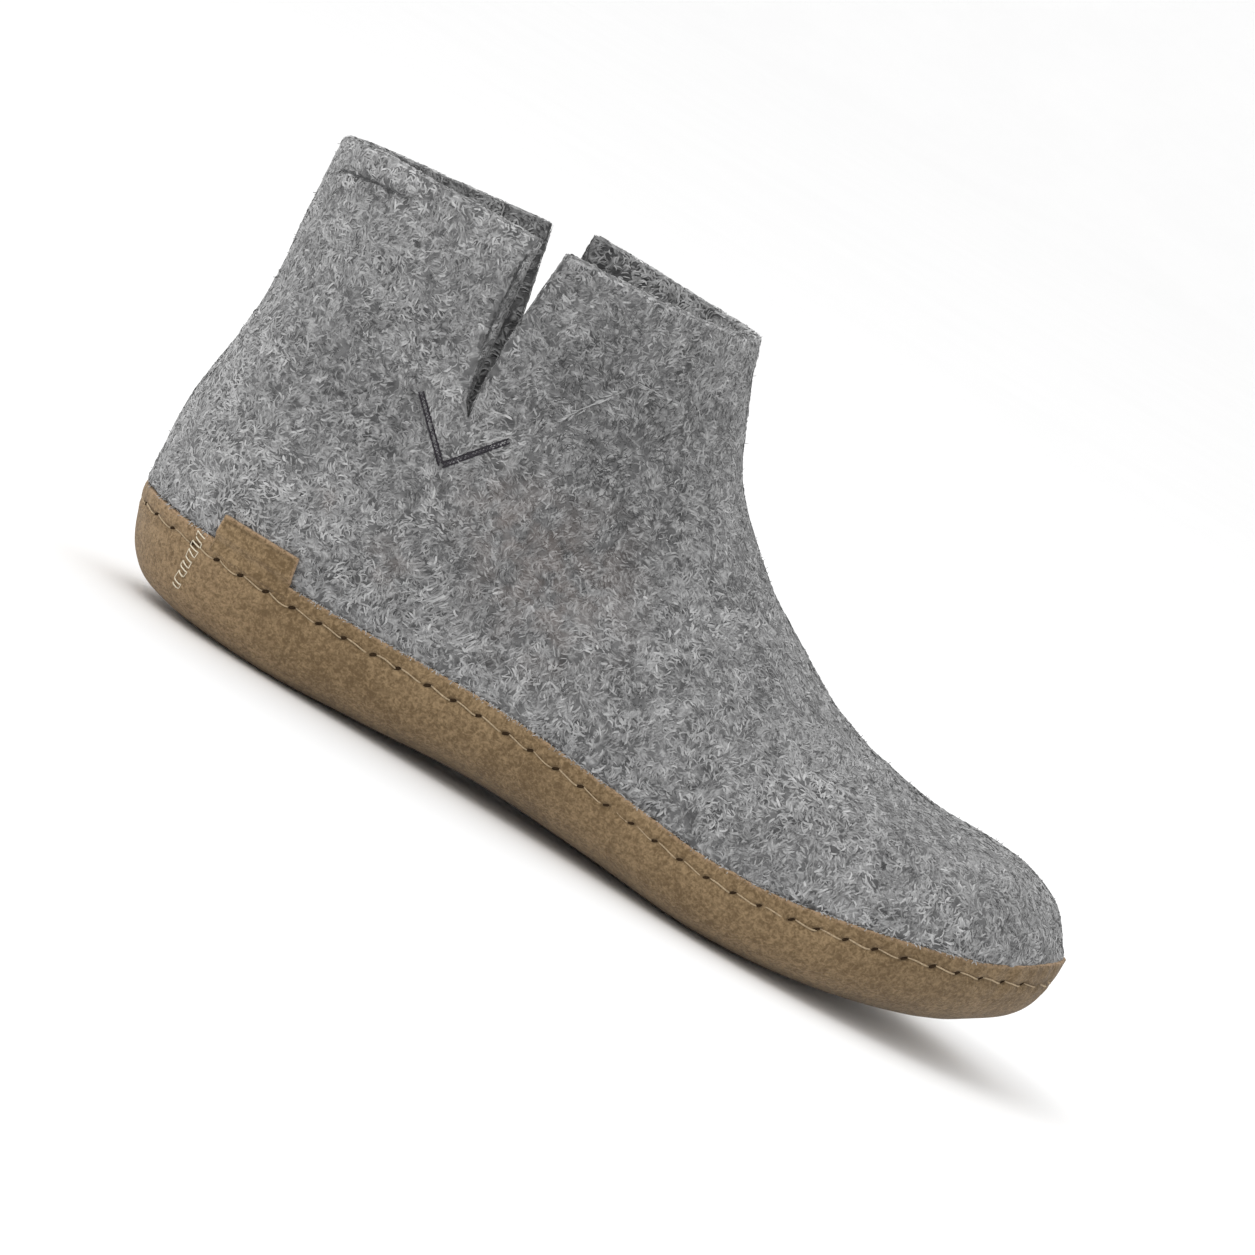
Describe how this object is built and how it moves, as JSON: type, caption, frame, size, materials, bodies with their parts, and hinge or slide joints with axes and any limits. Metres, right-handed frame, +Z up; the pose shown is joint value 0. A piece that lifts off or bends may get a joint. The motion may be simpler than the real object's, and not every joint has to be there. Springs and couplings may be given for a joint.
{
  "type": "felt slipper boot",
  "caption": "Ankle-high slipper boot for the right foot: hollow grey felt upper slit at both sides of the shaft, tan leather cup sole, felt insole and a small leather tab at the heel.",
  "frame": {"origin": "centre of the bounding box's base, on the floor plane under the boot", "axes": "+X to the toe, +Y to the inner side of the foot, +Z up"},
  "size_m": [0.2762, 0.1048, 0.1415],
  "materials": {
    "upper": "mottled grey wool felt, fuzzy and matt",
    "sole": "tan suede leather with a short matt nap",
    "insole": "grey wool felt, pressed and matt",
    "tab": "tan leather, matt, with pale cut edges"
  },
  "bodies": {
    "root": {"upper": "upper", "sole": "sole", "insole": "insole", "tab": "tab"}
  },
  "joints": []
}
